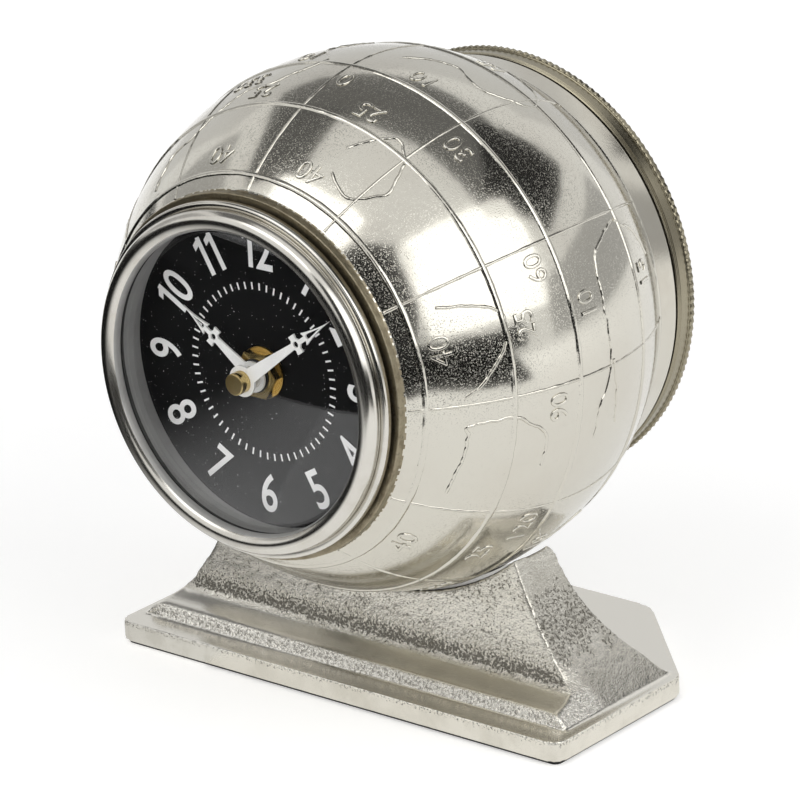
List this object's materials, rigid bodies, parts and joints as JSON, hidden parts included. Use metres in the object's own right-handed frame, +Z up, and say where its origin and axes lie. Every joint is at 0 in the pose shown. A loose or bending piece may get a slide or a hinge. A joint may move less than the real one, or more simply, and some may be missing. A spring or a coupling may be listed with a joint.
{
  "type": "desk clock",
  "caption": "Desk clock: a cast metal globe on a stepped plinth, with an analogue dial behind domed glass in its front and a coin-edged cover at its back.",
  "frame": {"origin": "on the table under the globe's centre, in the felt's lower face", "axes": "+Z up, -Y out of the dial towards the viewer, +X to the viewer's right"},
  "size_m": [0.135, 0.1112, 0.1545],
  "materials": {
    "plinth_metal": "rough cast with brushed ledges",
    "felt": "pressed felt",
    "globe_metal": "fine cast grain, warm silver",
    "cover_metal": "polished",
    "fixing_steel": "zinc plated",
    "case_metal": "satin",
    "bezel_chrome": "mirror polished",
    "clear_glass": "clear",
    "rubber_black": "matte",
    "spacer_grey": "matte",
    "dial_black": "matte with a printed chapter",
    "hand_white": "satin",
    "brass": "machined",
    "movement_plastic": "moulded",
    "wheel_plastic": "moulded",
    "board_green": "lacquered",
    "contact_metal": "nickel plated",
    "cell_sleeve": "plain sleeve"
  },
  "bodies": {
    "stand": {"base_casting": "plinth_metal", "base_felt": "felt", "globe_shell": "globe_metal", "fixing_bolt": "fixing_steel", "fixing_washers": "fixing_steel", "fixing_nut": "fixing_steel", "dial_case": "case_metal", "grip_ring": "rubber_black", "bezel": "bezel_chrome", "glass": "clear_glass", "glass_gasket": "rubber_black", "spacer_ring": "spacer_grey", "dial": "dial_black", "bush_rubber_washer": "rubber_black", "bush_washer": "brass", "bush_nut": "brass", "movement_case": "movement_plastic", "movement_back": "movement_plastic", "bridge_plate": "brass", "motor_module": "wheel_plastic", "circuit_board": "board_green", "contact_negative": "contact_metal", "contact_positive": "contact_metal"},
    "minute_hand": {"minute_arbor": "fixing_steel", "minute_hand": "hand_white", "hand_nut": "brass"},
    "hour_hand": {"hour_wheel": "wheel_plastic", "hour_hand": "hand_white"},
    "setting_knob": {"intermediate_wheel": "wheel_plastic", "set_knob": "movement_plastic"},
    "battery": {"battery": "cell_sleeve"},
    "rear_cover": {"rear_cover": "cover_metal", "cover_gasket": "rubber_black"}
  },
  "joints": [
    {"name": "minute_hand_turn", "type": "hinge", "parent": "stand", "child": "minute_hand", "pos_m": [0, 0, 0.0895], "axis": [0, 1, 0], "continuous": true},
    {"name": "hour_hand_turn", "type": "hinge", "parent": "stand", "child": "hour_hand", "pos_m": [0, 0, 0.0895], "axis": [0, 1, 0], "continuous": true},
    {"name": "setting_knob_turn", "type": "hinge", "parent": "stand", "child": "setting_knob", "pos_m": [0, 0, 0.0995], "axis": [0, 1, 0], "continuous": true},
    {"name": "battery_slide", "type": "slide", "parent": "stand", "child": "battery", "axis": [0, 1, 0], "range_m": [0, 0.02]},
    {"name": "rear_cover_slide", "type": "slide", "parent": "stand", "child": "rear_cover", "axis": [0, 1, 0], "range_m": [0, 0.045]}
  ],
  "couplings": [
    {"joint": "hour_hand_turn", "follows": "minute_hand_turn", "ratio": 0.083333},
    {"joint": "setting_knob_turn", "follows": "minute_hand_turn", "ratio": -0.33333}
  ]
}
